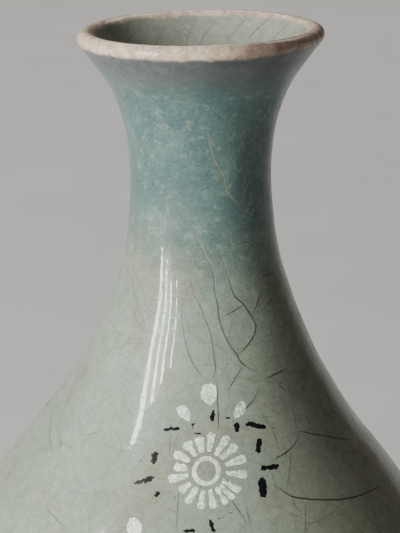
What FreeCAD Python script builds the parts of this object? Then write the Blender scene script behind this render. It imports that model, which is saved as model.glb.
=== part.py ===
import FreeCAD, Part
import math
import os
import Sketcher

# Celadon sake bottle with inlaid chrysanthemum sprays, millimetres.
# Frame: origin at the centre of the foot's underside, +Z up the axis of the throw,
# -Y towards the front spray.

V = FreeCAD.Vector
doc = FreeCAD.newDocument("sake_bottle")

# ------------------------------------------------------------------ driving dimensions
sheet = doc.addObject("Spreadsheet::Sheet", "Dims")
row = [0]


def cell(alias, value):
    row[0] += 1
    address = "A%d" % row[0]
    sheet.set(address, repr(float(value)))
    sheet.setAlias(address, alias)
    return value


D = {}
for alias, value in [
        ("glaze_outer", 0.42), ("glaze_lip", 0.26), ("glaze_inner", 0.36), ("glaze_floor", 0.50),
        ("wall_lip", 2.25), ("wall_neck", 3.20), ("wall_belly", 3.30),
        ("slip_half", 0.20), ("slip_foot", 0.23),
        ("belly_joint", 44.20), ("neck_joint", 103.20), ("lip_split", 148.00), ("inner_waist", 41.16),
        ("foot_top", 4.73), ("recess_ceiling", 5.60), ("recess_rim", 22.20), ("recess_flat", 21.60),
        ("foot_outer_top", 28.35), ("foot_outer_low", 27.95), ("foot_low_height", 1.00),
        ("foot_edge_outer", 27.10), ("foot_edge_inner", 23.50), ("foot_inner_low", 22.90),
        ("foot_inner_height", 0.60), ("foot_glaze_stop", 1.60), ("recess_glaze", 0.32),
        ("inlay_depth", 0.80), ("tool_length", 7.00), ("tool_sink", 4.20),
        ("spray_height", 83.40), ("spray_radius", 27.17), ("spray_lift", 35.80),
        ("ring_outer", 2.48), ("ring_inner", 1.74),
        ("petal_start", 3.22), ("petal_shoulder", 5.80), ("petal_end", 6.25),
        ("petal_narrow", 0.28), ("petal_wide", 0.72), ("petal_count", 17),
        ("size_front", 1.00), ("size_right", 1.03), ("size_left", 0.98),
        ("turn_front", 2.25), ("turn_right", 124.50), ("turn_left", 239.50),
        ("turn_start", 333.0), ("slab_reach", 60.0)]:
    D[alias] = cell(alias, value)

# Outside of the glazed bottle from the foot joint up to the flare under the lip, as
# spline poles (radius, height).
OUTER = [(29.08, 4.73), (33.77, 10.36), (40.80, 18.80), (46.15, 29.12), (48.03, 39.44),
         (47.18, 48.82), (44.47, 57.26), (40.48, 65.56), (34.43, 73.86), (27.96, 82.16),
         (22.22, 90.46), (18.12, 98.75), (14.76, 107.05), (12.86, 115.36), (12.04, 123.66),
         (12.28, 131.03), (13.26, 137.49), (15.43, 143.02), (18.15, 146.71)]
# Over the rolled lip to its inner edge.
LIP = [(19.70, 148.97), (20.56, 149.84), (20.80, 150.75), (20.38, 151.66), (19.42, 152.18),
       (18.30, 151.84), (17.35, 150.67)]
# Curve of the inside into the floor.
FLOOR = [(32.6, 16.4), (26.6, 12.3), (19.0, 10.6), (9.0, 10.2), (0.0, 10.2)]

for i, (pr, pz) in enumerate(OUTER + LIP):
    cell("form_r_%02d" % i, pr)
    cell("form_z_%02d" % i, pz)
for i, (pr, pz) in enumerate(FLOOR):
    if pr > 0:
        cell("floor_r_%d" % i, pr)
    cell("floor_z_%d" % i, pz)
doc.recompute()


class Num:
    """A length with the formula that drives it."""

    def __init__(self, value, text):
        self.value, self.text = value, text

    def plus(self, other, factor=1.0):
        return Num(self.value + factor * other.value,
                   "%s + (%.6f) * (%s)" % (self.text, factor, other.text))


def dim(alias):
    return Num(D[alias], "Dims." + alias)


def total(*names):
    return Num(sum(D[n] for n in names), " + ".join("Dims." + n for n in names))


def normals(points):
    """Outward unit-offset directions of a polygon of poles."""
    segs = []
    for a, b in zip(points, points[1:]):
        dx, dz = b[0] - a[0], b[1] - a[1]
        n = math.hypot(dx, dz)
        segs.append((dz / n, -dx / n))
    out = []
    for k in range(len(points)):
        a = segs[max(k - 1, 0)]
        b = segs[min(k, len(segs) - 1)]
        q = 1.0 + a[0] * b[0] + a[1] * b[1]
        out.append(((a[0] + b[0]) / q, (a[1] + b[1]) / q))
    return out


form = [(Num(r, "Dims.form_r_%02d" % i), Num(z, "Dims.form_z_%02d" % i))
        for i, (r, z) in enumerate(OUTER + LIP)]
form_n = normals(OUTER + LIP)


def shifted(i, depth):
    """Pole i of the outside moved into the wall by depth."""
    r, z = form[i]
    return r.plus(depth, -form_n[i][0]), z.plus(depth, -form_n[i][1])


n_out, n_lip = len(OUTER), len(LIP)


def wall_of(i):
    if OUTER[i][1] > 146.0:
        return "wall_lip"
    return "wall_neck" if OUTER[i][1] > 100.0 else "wall_belly"


# Glazed surface: outside, lip, inside, floor.
glaze_poles = list(form)
clay_poles = [shifted(i, dim("glaze_outer")) for i in range(n_out)]
clay_poles += [shifted(i, dim("glaze_lip")) for i in range(n_out, n_out + n_lip)]
for i in range(n_out - 1, 1, -1):
    glaze_poles.append(shifted(i, total("glaze_outer", wall_of(i), "glaze_inner")))
    clay_poles.append(shifted(i, total("glaze_outer", wall_of(i))))
inside_n = normals([(r.value, z.value) for r, z in glaze_poles] + FLOOR)[-len(FLOOR):]
for i, (pr, pz) in enumerate(FLOOR):
    r = Num(pr, "Dims.floor_r_%d" % i) if pr > 0 else Num(0.0, "0")
    z = Num(pz, "Dims.floor_z_%d" % i)
    glaze_poles.append((r, z))
    if pr > 0:
        clay_poles.append((r.plus(dim("glaze_floor"), -inside_n[i][0]),
                           z.plus(dim("glaze_floor"), -inside_n[i][1])))
    else:
        clay_poles.append((r, z.plus(dim("glaze_floor"), -1.0)))


# ------------------------------------------------------------------ modelling helpers
def plane_of(body, role):
    return [f for f in body.Origin.OriginFeatures if f.Role == role][0]


def new_sketch(body, role, name):
    sk = body.newObject("Sketcher::SketchObject", name)
    sk.AttachmentSupport = [(plane_of(body, role), "")]
    sk.MapMode = "FlatFace"
    doc.recompute()
    return sk


def pin(sk, geo, pos, x, y):
    """Hold a point of the sketch at the driven coordinates x, y (None leaves one free)."""
    if x is not None:
        queue.append((Sketcher.Constraint("DistanceX", -1, 1, geo, pos, x.value), x.text))
    if y is not None:
        queue.append((Sketcher.Constraint("DistanceY", -1, 1, geo, pos, y.value), y.text))


queue = []


def join(kind, *where):
    queue.append((Sketcher.Constraint(kind, *where), None))


def settle(sk):
    """Add the waiting constraints in one go and bind their formulas."""
    first = sk.ConstraintCount
    sk.addConstraint([c for c, text in queue])
    for k, (c, text) in enumerate(queue):
        if text:
            sk.setExpression("Constraints[%d]" % (first + k), text)
    del queue[:]


def turned(name, poles, corners):
    """Revolved solid: a spline through the driven poles, closed by straight lines."""
    body = doc.addObject("PartDesign::Body", name)
    body.Label = name
    sk = new_sketch(body, "XZ_Plane", name + "_profile")
    ends = []
    if poles:
        curve = Part.BSplineCurve()
        curve.buildFromPoles([V(r.value, z.value, 0) for r, z in poles], False, 3)
        g = sk.addGeometry(curve, False)
        sk.exposeInternalGeometry(g)
        for k, (r, z) in enumerate(poles):
            on_axis = abs(r.value) < 1e-9
            if on_axis:
                join("PointOnObject", g + 1 + k, 3, -2)
            pin(sk, g + 1 + k, 3, None if on_axis else r, z)
        ends = [(g, 2), (g, 1)]
        chain = [poles[-1]] + corners + [poles[0]]
    else:
        chain = corners + [corners[0]]
    lines = []
    for a, b in zip(chain, chain[1:]):
        lines.append(sk.addGeometry(Part.LineSegment(V(a[0].value, a[1].value, 0),
                                                     V(b[0].value, b[1].value, 0)), False))
    for a, b in zip(lines, lines[1:]):
        join("Coincident", a, 2, b, 1)
    if poles:
        join("Coincident", ends[0][0], ends[0][1], lines[0], 1)
        join("Coincident", ends[1][0], ends[1][1], lines[-1], 2)
        moves = list(zip(lines[1:], corners))
    else:
        join("Coincident", lines[-1], 2, lines[0], 1)
        moves = list(zip(lines, corners))
    for line, (r, z) in moves:
        if abs(r.value) < 1e-9:
            join("PointOnObject", line, 1, -2)
            pin(sk, line, 1, None, z)
        else:
            pin(sk, line, 1, r, z)
    settle(sk)
    rev = body.newObject("PartDesign::Revolution", name + "_turn")
    rev.Profile = sk
    rev.ReferenceAxis = (sk, ["V_Axis"])
    rev.Angle = 360.0
    # The start of the turn stands between two sprays.
    body.Placement = FreeCAD.Placement(V(0, 0, 0), FreeCAD.Rotation(V(0, 0, 1), D["turn_start"]))
    body.setExpression("Placement.Rotation.Angle", "Dims.turn_start * 1deg")
    return body


def slab(name, low, high):
    """Disc used to part the wall at a given height."""
    c = doc.addObject("Part::Cylinder", name)
    c.Label = name
    c.setExpression("Radius", "Dims.slab_reach")
    c.setExpression("Height", "(%s) - (%s)" % (high.text, low.text))
    c.setExpression("Placement.Base.z", low.text)
    return c


def boolean(kind, name, base, tool):
    o = doc.addObject("Part::" + kind, name)
    o.Label = name
    o.Base = base
    o.Tool = tool
    return o


zero = Num(0.0, "0")

# ------------------------------------------------------------------ whole forms
under = [(zero, dim("recess_ceiling")), (dim("recess_flat"), dim("recess_ceiling")),
         (dim("recess_rim"), dim("foot_top"))]
glaze_form = turned("glaze_form", glaze_poles, under)
clay_form = turned("clay_form", clay_poles, under)

# Middle of the wall, which parts the outside coat from the inside coat.
half = [(i, Num(D["glaze_outer"] + 0.5 * D[wall_of(i)],
                "Dims.glaze_outer + 0.5 * Dims.%s" % wall_of(i))) for i in range(n_out)]
mid_poles = [shifted(i, depth) for i, depth in half if i >= 2]
top_mid = (mid_poles[-1][0].plus(Num(1.9, "1.9")), Num(156.0, "Dims.lip_split + 6.4"))
mid_form = turned("mid_form", mid_poles, [
    (top_mid[0], top_mid[1]), (zero, top_mid[1]),
    (zero, Num(7.6, "Dims.recess_ceiling + 2.0")), (Num(26.0, "Dims.recess_flat + 4.4"), Num(7.6, "Dims.recess_ceiling + 2.0"))])

# Bottom of the inlaid layer, inlay_depth under the clay surface.
core_poles = [shifted(i, total("glaze_outer", "inlay_depth")) for i in range(4, n_out - 3)]
core_form = turned("core_form", core_poles, [(zero, core_poles[-1][1]), (zero, core_poles[0][1])])

# ------------------------------------------------------------------ foot
foot_slope = (D["foot_outer_top"] - D["foot_outer_low"]) / (D["foot_top"] - D["foot_low_height"])
foot_form = turned("foot_form", [], [
    (dim("recess_rim"), dim("foot_top")),
    (dim("foot_outer_top"), dim("foot_top")),
    (dim("foot_outer_low"), dim("foot_low_height")),
    (dim("foot_edge_outer"), zero),
    (dim("foot_edge_inner"), zero),
    (dim("foot_inner_low"), dim("foot_inner_height"))])

# Glaze that runs down over the foot's side and stops above the resting edge.
stop_r = Num(D["foot_outer_low"] + foot_slope * (D["foot_glaze_stop"] - D["foot_low_height"]),
             "Dims.foot_outer_low + (Dims.foot_outer_top - Dims.foot_outer_low) * "
             "(Dims.foot_glaze_stop - Dims.foot_low_height) / (Dims.foot_top - Dims.foot_low_height)")
skirt = turned("skirt_form", [], [
    (dim("foot_outer_top"), dim("foot_top")),
    (Num(29.08, "Dims.form_r_00"), dim("foot_top")),
    (dim("foot_outer_top").plus(dim("glaze_outer"), 1.05), dim("foot_top").plus(Num(0.7, "0.7"), -1.0)),
    (stop_r.plus(dim("glaze_outer"), 0.95), dim("foot_glaze_stop").plus(Num(0.35, "0.35"))),
    (stop_r, dim("foot_glaze_stop"))])

# Glaze in the hollow under the foot.
inner_slope = (D["foot_inner_low"] - D["recess_rim"]) / (D["foot_top"] - D["foot_inner_height"])
recess_stop = Num(D["recess_rim"] + inner_slope * (D["foot_top"] - D["foot_glaze_stop"]),
                  "Dims.recess_rim + (Dims.foot_inner_low - Dims.recess_rim) * "
                  "(Dims.foot_top - Dims.foot_glaze_stop) / (Dims.foot_top - Dims.foot_inner_height)")
foot_recess_glaze = turned("foot_recess_glaze", [], [
    (zero, dim("recess_ceiling").plus(dim("recess_glaze"), -1.0)),
    (dim("recess_flat").plus(dim("recess_glaze"), -0.75), dim("recess_ceiling").plus(dim("recess_glaze"), -1.0)),
    (dim("recess_rim").plus(dim("recess_glaze"), -1.0), dim("foot_top").plus(dim("recess_glaze"), -0.3)),
    (recess_stop.plus(dim("recess_glaze"), -0.8), dim("foot_glaze_stop").plus(Num(0.3, "0.3"))),
    (recess_stop, dim("foot_glaze_stop")),
    (dim("recess_rim"), dim("foot_top")),
    (dim("recess_flat"), dim("recess_ceiling")),
    (zero, dim("recess_ceiling"))])

# ------------------------------------------------------------------ parting heights
foot_cut = total("foot_top").plus(dim("slip_foot"), -1.0)
b_low, b_high = dim("belly_joint").plus(dim("slip_half"), -1.0), dim("belly_joint").plus(dim("slip_half"))
n_low, n_high = dim("neck_joint").plus(dim("slip_half"), -1.0), dim("neck_joint").plus(dim("slip_half"))
top = Num(160.0, "Dims.lip_split + 10.4")
slabs = {
    "foot": slab("slab_foot", zero, foot_cut),
    "foot_slip": slab("slab_foot_slip", foot_cut, dim("foot_top")),
    "lower": slab("slab_lower", zero, b_low),
    "belly_slip": slab("slab_belly_slip", b_low, b_high),
    "shoulder": slab("slab_shoulder", b_high, n_low),
    "neck_slip": slab("slab_neck_slip", n_low, n_high),
    "neck": slab("slab_neck", n_high, top),
    "under_lip": slab("slab_under_lip", zero, dim("lip_split")),
    "under_waist": slab("slab_under_waist", zero, dim("inner_waist")),
    "lip": slab("slab_lip", dim("lip_split"), top),
    "band": slab("slab_band", dim("spray_height").plus(Num(24.0, "24"), -1.0), dim("neck_joint").plus(Num(1.0, "1"), -1.0)),
}

nodes = {}
nodes["foot_ring"] = boolean("Common", "foot_ring", foot_form, slabs["foot"])
nodes["foot_luting_slip"] = boolean("Common", "foot_luting_slip", foot_form, slabs["foot_slip"])
nodes["lower_bowl_wall"] = boolean("Common", "lower_bowl_wall", clay_form, slabs["lower"])
nodes["belly_luting_slip"] = boolean("Common", "belly_luting_slip", clay_form, slabs["belly_slip"])
shoulder_blank = boolean("Common", "shoulder_blank", clay_form, slabs["shoulder"])
nodes["neck_luting_slip"] = boolean("Common", "neck_luting_slip", clay_form, slabs["neck_slip"])
nodes["neck_wall"] = boolean("Common", "neck_wall", clay_form, slabs["neck"])

skin = boolean("Cut", "glaze_skin", glaze_form, clay_form)
skin_low = boolean("Common", "glaze_skin_low", skin, slabs["under_lip"])
nodes["lip_glaze_band"] = boolean("Common", "lip_glaze_band", skin, slabs["lip"])
# The inside coat keeps a ring edge at its widest height, so its faces end at their widest.
inner_whole = boolean("Common", "inner_whole", skin_low, mid_form)
inner_low = boolean("Common", "inner_low", inner_whole, slabs["under_waist"])
inner_high = boolean("Cut", "inner_high", inner_whole, slabs["under_waist"])
nodes["inner_glaze_coat"] = boolean("Fuse", "inner_glaze_coat", inner_low, inner_high)
nodes["inner_glaze_coat"].Refine = False
outer_skin = boolean("Cut", "outer_skin", skin_low, mid_form)
outer_whole = boolean("Fuse", "outer_whole", outer_skin, skirt)
nodes["foot_recess_glaze"] = foot_recess_glaze

# Layer that the inlay fills, from its bottom in the clay out to the glazed face: the
# clear glaze over the slip is counted in with it.
band = boolean("Common", "inlay_band", glaze_form, slabs["band"])
layer = boolean("Cut", "inlay_layer", band, core_form)

# ------------------------------------------------------------------ inlaid sprays
# Outlines in the plane that touches the surface at the flower's centre: u to the
# right, v up the wall. Buds are white slip, leaf and stem marks black slip.
BUDS = [  # centre u, v, half width, half height, lean in degrees
    (0.32, 12.61, 1.45, 1.80, 0.0), (-3.79, 9.86, 0.90, 1.35, 28.0), (5.64, 10.05, 0.90, 1.55, -30.0),
    (-11.71, -8.88, 1.25, 1.75, 18.0)]
MARKS = [  # centre u, v, half length, half thickness, angle of the length in degrees
    (0.89, 9.13, 0.82, 0.32, 84.0), (-1.59, 5.99 + 0.55, 0.66, 0.21, 0.0), (-2.34, 7.60, 0.50, 0.20, 80.0),
    (3.29, 8.75, 0.42, 0.22, 5.0), (4.90, 7.22, 0.83, 0.36, 84.0), (8.17, 7.65, 1.70, 0.38, -8.0),
    (8.70, 4.32, 1.25, 0.45, 84.0), (10.63, 0.73, 1.62, 0.36, 12.0), (9.29, -2.73, 1.62, 0.55, 98.0),
    (-5.79, 7.27, 1.40, 0.30, 0.0), (-8.54, 2.55, 1.05, 0.42, 78.0), (-10.09, -1.06, 1.70, 0.34, 13.0),
    (-8.03, -3.60, 0.60, 0.38, 60.0), (0.79, -9.10, 1.15, 0.30, 110.0), (-2.86, -9.80, 0.96, 0.24, -2.0)]
SPRAYS = ["front", "right", "left"]


def place_tool(body, side):
    """Stand a cutting tool on the surface, square to it, sunk by tool_sink."""
    turn, lift = math.radians(D["turn_" + side]), math.radians(D["spray_lift"])
    n = V(math.cos(lift) * math.sin(turn), -math.cos(lift) * math.cos(turn), math.sin(lift))
    ex = V(math.cos(turn), math.sin(turn), 0)
    ey = n.cross(ex)
    m = FreeCAD.Matrix(ex.x, ey.x, n.x, 0, ex.y, ey.y, n.y, 0, ex.z, ey.z, n.z, 0, 0, 0, 0, 1)
    body.Placement = FreeCAD.Placement(m)
    t, l = "Dims.turn_" + side, "Dims.spray_lift"
    reach = "(Dims.spray_radius - Dims.tool_sink * cos(%s * 1deg))" % l
    body.setExpression("Placement.Base.x", "%s * sin(%s * 1deg)" % (reach, t))
    body.setExpression("Placement.Base.y", "-1 * %s * cos(%s * 1deg)" % (reach, t))
    body.setExpression("Placement.Base.z", "Dims.spray_height - Dims.tool_sink * sin(%s * 1deg)" % l)


def pad_of(body, sk):
    settle(sk)
    pad = body.newObject("PartDesign::Pad", sk.Name + "_pad")
    pad.Profile = sk
    pad.setExpression("Length", "Dims.tool_length")
    doc.recompute()
    return pad


def outline(sk, points, size):
    """Closed polygon with every corner driven by the spray's size."""
    ids = []
    m = len(points)
    for a in range(m):
        p, q = points[a], points[(a + 1) % m]
        ids.append(sk.addGeometry(Part.LineSegment(V(p[0], p[1], 0), V(q[0], q[1], 0)), False))
    for a in range(m):
        join("Coincident", ids[a], 2, ids[(a + 1) % m], 1)
    for a in range(m):
        pin(sk, ids[a], 1,
            Num(points[a][0], "Dims.%s * (%.5f)" % (size, points[a][0] / D[size])),
            Num(points[a][1], "Dims.%s * (%.5f)" % (size, points[a][1] / D[size])))


def ring_tool(side):
    body = doc.addObject("PartDesign::Body", "tool_ring_" + side)
    sk = new_sketch(body, "XY_Plane", "ring_lines_" + side)
    for alias in ("ring_outer", "ring_inner"):
        r = D[alias] * D["size_" + side]
        g = sk.addGeometry(Part.Circle(V(0, 0, 0), V(0, 0, 1), r), False)
        join("Coincident", g, 3, -1, 1)
        queue.append((Sketcher.Constraint("Radius", g, r), "Dims.%s * Dims.size_%s" % (alias, side)))
    pad_of(body, sk)
    place_tool(body, side)
    return body


def petal_tool(side):
    size = D["size_" + side]
    body = doc.addObject("PartDesign::Body", "tool_petals_" + side)
    sk = new_sketch(body, "XY_Plane", "petal_lines_" + side)
    a, b, c = D["petal_start"] * size, D["petal_shoulder"] * size, D["petal_end"] * size
    n, w = D["petal_narrow"] * size, D["petal_wide"] * size
    pts = [(a, -n, "petal_start", "-1 * Dims.petal_narrow"), (b, -w, "petal_shoulder", "-1 * Dims.petal_wide"),
           (c, -0.55 * w, "petal_end", "-0.55 * Dims.petal_wide"), (c, 0.55 * w, "petal_end", "0.55 * Dims.petal_wide"),
           (b, w, "petal_shoulder", "Dims.petal_wide"), (a, n, "petal_start", "Dims.petal_narrow")]
    ids = []
    for k in range(6):
        p, q = pts[k], pts[(k + 1) % 6]
        ids.append(sk.addGeometry(Part.LineSegment(V(p[0], p[1], 0), V(q[0], q[1], 0)), False))
    for k in range(6):
        join("Coincident", ids[k], 2, ids[(k + 1) % 6], 1)
    for k in range(6):
        pin(sk, ids[k], 1, Num(pts[k][0], "Dims.%s * Dims.size_%s" % (pts[k][2], side)),
            Num(pts[k][1], "%s * Dims.size_%s" % (pts[k][3], side)))
    pad = pad_of(body, sk)
    pol = body.newObject("PartDesign::PolarPattern", "petals_round_" + side)
    pol.Originals = [pad]
    pol.Axis = (sk, ["N_Axis"])
    pol.Angle = 360.0
    pol.setExpression("Occurrences", "Dims.petal_count")
    body.Tip = pol
    doc.recompute()
    place_tool(body, side)
    return body


def bud_points(size, cu, cv, hw, hh, lean):
    """Egg-shaped bud, pointed at the bottom."""
    ca, sa = math.cos(math.radians(lean)), math.sin(math.radians(lean))
    pts = []
    for x, y in [(0.0, -1.0), (0.62, -0.58), (1.0, 0.05), (0.80, 0.62), (0.36, 0.95),
                 (-0.36, 0.95), (-0.80, 0.62), (-1.0, 0.05), (-0.62, -0.58)]:
        x, y = x * hw, y * hh
        pts.append((size * (cu + x * ca - y * sa), size * (cv + x * sa + y * ca)))
    return pts


def mark_points(size, cu, cv, hl, ht, angle):
    """Short brush mark with blunt ends."""
    ca, sa = math.cos(math.radians(angle)), math.sin(math.radians(angle))
    pts = []
    for x, y in [(-1.0, -0.45), (-0.7, -1.0), (0.7, -0.9), (1.0, -0.35), (0.95, 0.6), (0.6, 1.0), (-0.75, 0.95)]:
        x, y = x * hl, y * ht
        pts.append((size * (cu + x * ca - y * sa), size * (cv + x * sa + y * ca)))
    return pts


def outline_tool(kind, side, shapes):
    body = doc.addObject("PartDesign::Body", "tool_%s_%s" % (kind, side))
    sk = new_sketch(body, "XY_Plane", "%s_lines_%s" % (kind, side))
    for pts in shapes:
        outline(sk, pts, "size_" + side)
    pad_of(body, sk)
    place_tool(body, side)
    return body


inlays = []
for side in SPRAYS:
    size = D["size_" + side]
    tools = {
        "ring": ring_tool(side),
        "petals": petal_tool(side),
        "buds": outline_tool("buds", side, [bud_points(size, *b) for b in BUDS]),
        "leaves": outline_tool("leaves", side, [mark_points(size, *m) for m in MARKS]),
    }
    for kind, tool in tools.items():
        name = "spray_%s_%s" % (side, kind)
        nodes[name] = boolean("Common", name, tool, layer)
        inlays.append(nodes[name])
doc.recompute()

# The shoulder and the outside coat are cut away where the inlays stand.
all_inlays = doc.addObject("Part::Compound", "all_inlays")
all_inlays.Links = inlays
nodes["shoulder_wall"] = boolean("Cut", "shoulder_wall", shoulder_blank, all_inlays)
nodes["outer_glaze_coat"] = boolean("Cut", "outer_glaze_coat", outer_whole, all_inlays)
doc.recompute()

# ------------------------------------------------------------------ checks and export
bad = []
for o in doc.Objects:
    if "Invalid" in o.State or "Error" in o.State:
        bad.append("%s state %s" % (o.Name, o.State))
for name, o in nodes.items():
    s = o.Shape
    if s.isNull() or not s.isValid() or not s.Solids:
        bad.append("%s has no valid shape" % name)
if bad:
    raise SystemExit("\n".join(bad))

os.makedirs("parts", exist_ok=True)
for name in sorted(nodes):
    s = nodes[name].Shape
    s.exportStep("parts/%s.step" % name)
    b = s.BoundBox
    print("%-22s solids %3d faces %4d volume %10.2f z %7.2f..%7.2f r %.2f" % (
        name, len(s.Solids), len(s.Faces), s.Volume, b.ZMin, b.ZMax, b.XMax))
print("nodes", len(nodes))
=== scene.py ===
import math
import random

import bpy
import numpy as np
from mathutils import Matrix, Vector


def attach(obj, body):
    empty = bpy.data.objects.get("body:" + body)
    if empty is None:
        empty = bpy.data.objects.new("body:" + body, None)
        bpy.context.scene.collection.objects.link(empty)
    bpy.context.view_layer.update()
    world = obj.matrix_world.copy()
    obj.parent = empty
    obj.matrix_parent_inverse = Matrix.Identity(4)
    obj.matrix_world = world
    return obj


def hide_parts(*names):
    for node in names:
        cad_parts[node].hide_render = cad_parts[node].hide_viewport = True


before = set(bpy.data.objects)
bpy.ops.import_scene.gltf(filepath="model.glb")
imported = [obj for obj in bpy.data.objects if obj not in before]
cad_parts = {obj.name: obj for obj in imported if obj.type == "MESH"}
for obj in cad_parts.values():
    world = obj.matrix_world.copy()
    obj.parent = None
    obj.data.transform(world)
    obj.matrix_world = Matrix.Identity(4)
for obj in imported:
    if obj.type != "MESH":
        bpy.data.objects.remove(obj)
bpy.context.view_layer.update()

MM = 0.001
rng = random.Random(20)

# =============================================================================
# The wall's outline, in millimetres: spline poles (radius, height) of the glazed
# surface from the foot joint up the outside, over the lip and down the inside.
# =============================================================================
OUTER = [(29.08, 4.73), (33.77, 10.36), (40.80, 18.80), (46.15, 29.12), (48.03, 39.44),
         (47.18, 48.82), (44.47, 57.26), (40.48, 65.56), (34.43, 73.86), (27.96, 82.16),
         (22.22, 90.46), (18.12, 98.75), (14.76, 107.05), (12.86, 115.36), (12.04, 123.66),
         (12.28, 131.03), (13.26, 137.49), (15.43, 143.02), (18.15, 146.71)]
LIP = [(19.70, 148.97), (20.56, 149.84), (20.80, 150.75), (20.38, 151.66), (19.42, 152.18),
       (18.30, 151.84), (17.35, 150.67)]
FLOOR = [(32.6, 16.4), (26.6, 12.3), (19.0, 10.6), (9.0, 10.2), (0.0, 10.2)]
GLAZE_OUT, GLAZE_LIP, GLAZE_IN, GLAZE_FLOOR = 0.42, 0.26, 0.36, 0.50
WALL_LIP, WALL_NECK, WALL_BELLY = 2.25, 3.20, 3.30
LIP_SPLIT, NECK_JOINT, BELLY_JOINT = 148.00, 103.20, 44.20


def pole_normals(p):
    segs = []
    for a, b in zip(p, p[1:]):
        dx, dz = b[0] - a[0], b[1] - a[1]
        n = math.hypot(dx, dz)
        segs.append((dz / n, -dx / n))
    out = []
    for k in range(len(p)):
        a, b = segs[max(k - 1, 0)], segs[min(k, len(segs) - 1)]
        q = 1.0 + a[0] * b[0] + a[1] * b[1]
        out.append(((a[0] + b[0]) / q, (a[1] + b[1]) / q))
    return out


form = OUTER + LIP
form_n = pole_normals(form)


def moved(i, d):
    return (form[i][0] - d * form_n[i][0], form[i][1] - d * form_n[i][1])


def wall_of(i):
    z = OUTER[i][1]
    return WALL_LIP if z > 146 else WALL_NECK if z > 100 else WALL_BELLY


glaze_p = list(form)
clay_p = [moved(i, GLAZE_OUT) for i in range(len(OUTER))]
clay_p += [moved(i, GLAZE_LIP) for i in range(len(OUTER), len(form))]
for i in range(len(OUTER) - 1, 1, -1):
    glaze_p.append(moved(i, GLAZE_OUT + wall_of(i) + GLAZE_IN))
    clay_p.append(moved(i, GLAZE_OUT + wall_of(i)))
in_n = pole_normals(glaze_p + FLOOR)[-len(FLOOR):]
for i, (r, z) in enumerate(FLOOR):
    glaze_p.append((r, z))
    clay_p.append((r - GLAZE_FLOOR * in_n[i][0], z - GLAZE_FLOOR * in_n[i][1]) if r > 0 else (0.0, z - GLAZE_FLOOR))


def spline(poles, t):
    """Clamped cubic spline with even knots, at the parameters t (0..1)."""
    p = np.array(poles, float)
    m, k = len(p), 3
    kn = np.concatenate([[0.0] * k, np.linspace(0, 1, m - k + 1), [1.0] * k])
    t = np.clip(np.asarray(t, float), 0, 1 - 1e-12)
    basis = [((t >= kn[i]) & (t < kn[i + 1])).astype(float) for i in range(len(kn) - 1)]
    for d in range(1, k + 1):
        nxt = []
        for i in range(len(kn) - 1 - d):
            v = np.zeros_like(t)
            if kn[i + d] > kn[i]:
                v = v + (t - kn[i]) / (kn[i + d] - kn[i]) * basis[i]
            if kn[i + d + 1] > kn[i + 1]:
                v = v + (kn[i + d + 1] - t) / (kn[i + d + 1] - kn[i + 1]) * basis[i + 1]
            nxt.append(v)
        basis = nxt
    return sum(basis[i][:, None] * p[i] for i in range(m))


fine_t = np.linspace(0, 1, 24001)
fine = spline(glaze_p, fine_t)
crown_k = int(np.argmax(fine[:, 1]))
arc = np.concatenate([[0], np.cumsum(np.hypot(*np.diff(fine, axis=0).T))])


def t_at(z, inside=False):
    """Parameter where the glazed surface passes height z."""
    if inside:
        seg = slice(crown_k, len(fine))
        return float(np.interp(-z, -fine[seg, 1], fine_t[seg]))
    return float(np.interp(z, fine[:crown_k, 1], fine_t[:crown_k]))


OUT_CUTS = [0.0, t_at(24.0), t_at(62.0), t_at(NECK_JOINT), t_at(LIP_SPLIT)]
IN_CUTS = [t_at(LIP_SPLIT, True), t_at(76.0, True), 1.0]
cuts = OUT_CUTS + IN_CUTS
grid_t = []
for a, b in zip(cuts, cuts[1:]):
    sa, sb = np.interp([a, b], fine_t, arc)
    near_lip = a >= OUT_CUTS[-1] - 1e-9 and b <= IN_CUTS[0] + 1e-9
    inside = a >= IN_CUTS[0] - 1e-9
    step = 0.22 if near_lip else 1.5 if inside and b == 1.0 else 0.85
    n = max(4, int(round((sb - sa) / step)))
    ts = np.interp(np.linspace(sa, sb, n + 1), arc, fine_t)
    ts[0], ts[-1] = a, b
    grid_t += list(ts[:-1])
grid_t.append(1.0)
grid_t = np.array(grid_t)
G = spline(glaze_p, grid_t)
K = spline(clay_p, grid_t)
G[-1, 0] = K[-1, 0] = 0.0


def ring_index(t):
    return int(np.argmin(abs(grid_t - t)))


# Height table of the outside, for points placed on it by angle and height.
out_z, out_r = fine[:crown_k, 1], fine[:crown_k, 0]
in_z, in_r = fine[crown_k:, 1][::-1], fine[crown_k:, 0][::-1]


# =============================================================================
# Unevenness of a thrown pot: its axis wanders, the rim is tipped, and the wall is
# not quite round. One field moves every piece, so that the layers stay together.
# =============================================================================
DRIFT_Z = [0, 10, 40, 60.0, 76.9, 81.3, 85.6, 90.0, 96.7, 105.5, 114.2, 122.8, 131.2, 139.6, 145.8, 152.4]
DRIFT_X = [0, 0, -.20, -.50, -.70, -.62, -.36, -.06, .14, .29, .22, .00, -.03, -.08, -.22, .02]
dz_f = np.linspace(0, 160, 641)
dx_f = np.interp(dz_f, DRIFT_Z, DRIFT_X)
for _ in range(3):
    dx_f = np.convolve(np.pad(dx_f, 8, mode="edge"), np.ones(17) / 17, mode="valid")
MODES = [(2, 61, 0.11, 0.3), (3, 47, 0.07, 1.9), (2, 24, 0.045, 4.1), (5, 33, 0.035, 2.2), (0, 17, 0.045, 0.8),
         (7, 19, 0.018, 5.0), (1, 11.5, 0.020, 3.3), (0, 6.3, 0.012, 1.1), (4, 8.1, 0.010, 0.4)]


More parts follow.
